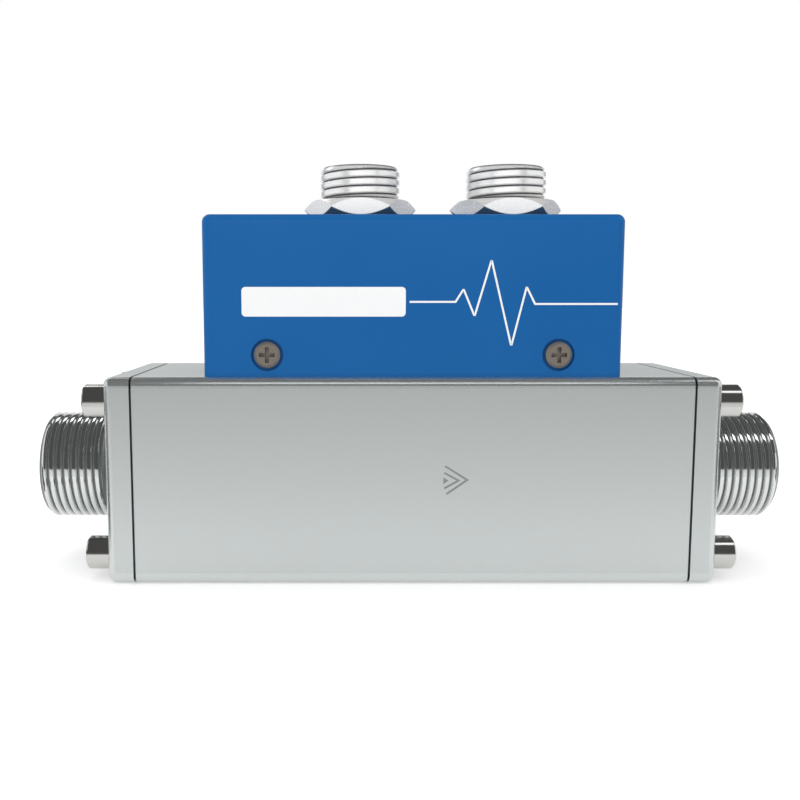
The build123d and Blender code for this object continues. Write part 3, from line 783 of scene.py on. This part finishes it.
# %% [markdown]
# ## The floor, the world and the lamps
# A product picture stands on a white sweep. The floor is a plain pale sheet that keeps the meter's
# shadow. It glows a little for the camera and for shiny metal, which lifts it to white, and more so
# with distance, where the lamps reach less. The world is white to the camera and to shiny metal but
# dimmer as a lamp. One wide soft lamp hangs above and another fills the front, together bright enough
# that a colour renders about as it is written.

# %% Floor
def seen_or_mirrored(tree):
    """1 for rays from the camera or from a mirror image, and 0 for the rays that light a matt surface."""
    rays = add(tree, "LightPath").outputs
    seen = rays["Is Camera Ray"]
    for ray in ("Is Glossy Ray", "Is Transmission Ray"):
        seen = add(tree, "Math", {0: seen, 1: rays[ray]}, operation="MAXIMUM").outputs[0]
    return seen


floor_half = 6.0
floor_drop = 0.0002
glow_from = 0.15
glow_to = 0.7
near_glow = 0.35
far_glow = 0.45
bm = bmesh.new()
bmesh.ops.create_grid(bm, x_segments=1, y_segments=1, size=floor_half)
bmesh.ops.translate(bm, verts=bm.verts, vec=(0, 0, -floor_drop))
floor_mesh = bpy.data.meshes.new("floor")
bm.to_mesh(floor_mesh)
bm.free()
material, tree, shader, place = start_finish("matt_white_sheet", {"Roughness": 0.9})
mottle = add(tree, "TexNoise", {"Vector": place, "Scale": 1 / (40 * mm), "Detail": 2.0})
shade(tree, shader, mottle.outputs["Fac"], "#EFEFEF", "#F1F1F1", 0.88, 0.92)
distance = add(tree, "VectorMath", {0: place}, operation="LENGTH").outputs["Value"]
outwards = add(tree, "MapRange", {
    "Value": distance, "From Min": glow_from, "From Max": glow_to, "To Min": near_glow, "To Max": far_glow,
})
glow = add(tree, "Math", {0: seen_or_mirrored(tree), 1: outwards.outputs["Result"]}, operation="MULTIPLY")
tree.links.new(glow.outputs[0], shader.inputs["Emission Strength"])
shader.inputs["Emission Color"].default_value = (1, 1, 1, 1)
floor_mesh.materials.append(material)
floor = bpy.data.objects.new("floor", floor_mesh)
scene.collection.objects.link(floor)
print("floor glow", near_glow, "to", far_glow)

# %% World
world_as_lamp = 0.8
world_seen = 1.0
world = bpy.data.worlds.new("studio")
world.use_nodes = True
world.cycles.sampling_method = "NONE"
scene.world = world
tree = world.node_tree
strength = add(
    tree, "MapRange", {"Value": seen_or_mirrored(tree), "To Min": world_as_lamp, "To Max": world_seen}
)
background = tree.nodes["Background"]
background.inputs["Color"].default_value = (1, 1, 1, 1)
tree.links.new(strength.outputs["Result"], background.inputs["Strength"])
print("world strength", world_as_lamp, "as a lamp and", world_seen, "when seen")

# %% Lamps
def lamp(name, place, aim, size, power):
    """A square soft lamp that lights the matt surfaces and stays out of mirror images."""
    data = bpy.data.lights.new(name, "AREA")
    data.size = size
    data.energy = power
    hung = bpy.data.objects.new(name, data)
    hung.location = place
    hung.rotation_euler = (Vector(aim) - Vector(place)).to_track_quat("-Z", "Y").to_euler()
    hung.visible_glossy = False
    scene.collection.objects.link(hung)
    print(name, power, "W at", place)


meter_middle = (0, 0, 0.06)
lamp("overhead_softbox", (-0.2, -0.1, 1.2), meter_middle, 1.2, 3.5)
lamp("front_fill", (-0.5, -1.4, 0.6), meter_middle, 1.0, 3.8)

# %% [markdown]
# ## What the shiny metal sees
# Bright steel has no colour of its own and shows its surroundings. The studio round a shiny part is
# mostly a dark canopy, with a white floor near the part and two long white strips of light above it.
# That gives round steel its look: pale below, dark above the middle, and one bright streak. The cards
# below are seen by shiny surfaces only. They cast no shadow and the camera doesn't see them.

# %% Studio cards
canopy_radius = 0.9
canopy_half_width = 1.1
canopy_turn = math.radians(150)
canopy_light = 0.10
flag_light = 0.10
wedge_light = 0.06
strip_light = 2.4
strip_height = 0.6
window_light = 1.5
near_floor_light = 1.05
far_floor_light = 0.45
floor_gap = 0.001
fade_start = -0.1


def card(name, bm, light, far_light=None):
    """A glowing sheet that only mirror images show. Its light can fade from the meter to the far end."""
    mesh = bpy.data.meshes.new(name)
    bm.to_mesh(mesh)
    bm.free()
    paint = bpy.data.materials.new(name)
    paint.use_nodes = True
    paint.node_tree.nodes.clear()
    glow = add(paint.node_tree, "Emission", {"Color": (1, 1, 1, 1), "Strength": light})
    add(paint.node_tree, "OutputMaterial", {"Surface": glow.outputs[0]})
    if far_light is not None:
        place = add(paint.node_tree, "TexCoord").outputs["Object"]
        ahead = add(paint.node_tree, "SeparateXYZ", {"Vector": place}).outputs["Y"]
        fade = add(paint.node_tree, "MapRange", {
            "Value": ahead, "From Min": fade_start, "From Max": -canopy_radius, "To Min": light,
            "To Max": far_light,
        })
        paint.node_tree.links.new(fade.outputs["Result"], glow.inputs["Strength"])
    mesh.materials.append(paint)
    sheet = bpy.data.objects.new(name, mesh)
    scene.collection.objects.link(sheet)
    sheet.visible_camera = False
    sheet.visible_diffuse = False
    sheet.visible_transmission = False
    sheet.visible_shadow = False
    print(name, "light", light)


bm = bmesh.new()
front_edge = [
    bm.verts.new((x, -canopy_radius, floor_gap)) for x in (-canopy_half_width, canopy_half_width)
]
bmesh.ops.spin(
    bm, geom=front_edge + [bm.edges.new(front_edge)], cent=(0, 0, 0), axis=(1, 0, 0), angle=-canopy_turn,
    steps=40, use_merge=False,
)
card("dark_canopy", bm, canopy_light)


def flat_card(name, light, corners, far_light=None):
    """A card from the places of its corners, in metres."""
    bm = bmesh.new()
    bm.faces.new([bm.verts.new(place) for place in corners])
    card(name, bm, light, far_light)


def upright(y, x_from, x_to, z_from, z_to):
    """The corners of an upright card that faces the meter from the front or the back."""
    return [(x_from, y, z_from), (x_to, y, z_from), (x_to, y, z_to), (x_from, y, z_to)]


def level(z, x_from, x_to, y_from, y_to):
    """The corners of a level card."""
    return [(x_from, y_from, z), (x_to, y_from, z), (x_to, y_to, z), (x_from, y_to, z)]


# Two strips of light hang above the meter, along its length. The left fitting mirrors the rear
# one in its top edge and the right fitting mirrors the front one a little lower down.
flat_card("rear_strip", strip_light, level(strip_height, -0.9, -0.265, 0.31, 0.52))
flat_card("front_strip", strip_light, level(strip_height, 0.30, 1.0, -0.28, -0.13))
# The floor ahead turns grey with distance, so an upright face is darker at its top than at its foot.
front_floor = level(floor_gap / 2, -canopy_half_width, canopy_half_width, -canopy_radius, fade_start)
flat_card("fading_floor", near_floor_light, front_floor, far_floor_light)
# A small window of light stands just before the connectors, too high for the fittings to mirror.
flat_card("connector_window", window_light, upright(-0.12, -0.085, 0.105, 0.112, 0.147))
# Dark flags low behind the meter, outside what its flat top mirrors.
flat_card("rear_left_flag", flag_light, upright(0.85, -1.1, -0.5, 0.0, 0.45))
flat_card("rear_right_flag", flag_light, upright(0.85, 0.5, 1.1, 0.0, 0.45))
# A dark wedge of floor on each side draws the fine dark line down the plates' round edges. It starts
# near the plate's corner and its two sides are turned away from the front by these angles.
wedge_turns = [math.radians(62), math.radians(108)]
wedge_far = 0.9
for name, side, near in (("left", -1, 0.05), ("right", 1, 0.11)):
    corner = Vector((side * plate_face * mm, body_front * mm, floor_gap))
    front_arm, back_arm = [Vector((side * math.sin(turn), -math.cos(turn), 0)) for turn in wedge_turns]
    ring = [
        corner + front_arm * near, corner + back_arm * near, corner + back_arm * wedge_far,
        corner + front_arm * wedge_far,
    ]
    flat_card(name + "_dark_floor", wedge_light, ring)

# %% [markdown]
# ## The view settings
# The Standard view shows each colour as it was written.

# %% View settings
scene.view_settings.view_transform = "Standard"
